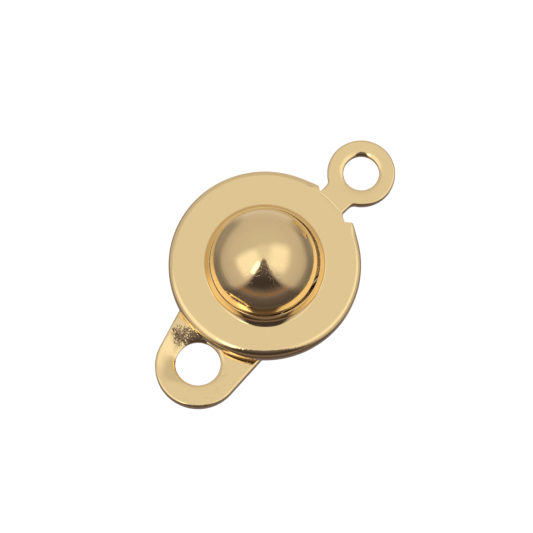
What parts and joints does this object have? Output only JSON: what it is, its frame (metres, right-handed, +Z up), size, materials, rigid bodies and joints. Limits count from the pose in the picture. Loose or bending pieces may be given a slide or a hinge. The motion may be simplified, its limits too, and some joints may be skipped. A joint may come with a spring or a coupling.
{
  "type": "button clasp",
  "caption": "Snap clasp for a necklace or bracelet: a sprung round socket plate pressed over a hollow ball stud, with a sewing loop on each half.",
  "frame": {"origin": "the ball's axis at the surface that the stud's plate lies on", "axes": "+Z up out of the ball, -X towards the centre of the stud's loop"},
  "size_m": [0.0154, 0.009, 0.0052],
  "materials": {
    "stud_gold": "polished gold plating, lightly rippled on the plate",
    "socket_gold": "polished gold plating",
    "washer_gold": "plain gold plating",
    "spring_steel": "plain spring wire"
  },
  "bodies": {
    "stud": {"stud": "stud_gold"},
    "spring": {"snap_spring": "spring_steel"},
    "socket": {"socket_shell": "socket_gold", "backing_washer": "washer_gold"}
  },
  "joints": [
    {"name": "unsnap", "type": "slide", "parent": "stud", "child": "spring", "axis": [-0.1208, -0.0452, 0.9917], "range_m": [0, 0.005], "deforming": ["snap_spring"]},
    {"name": "swivel", "type": "hinge", "parent": "spring", "child": "socket", "pos_m": [0.0002, 0.00007, 0.00099], "axis": [0, 0, 1], "continuous": true}
  ]
}
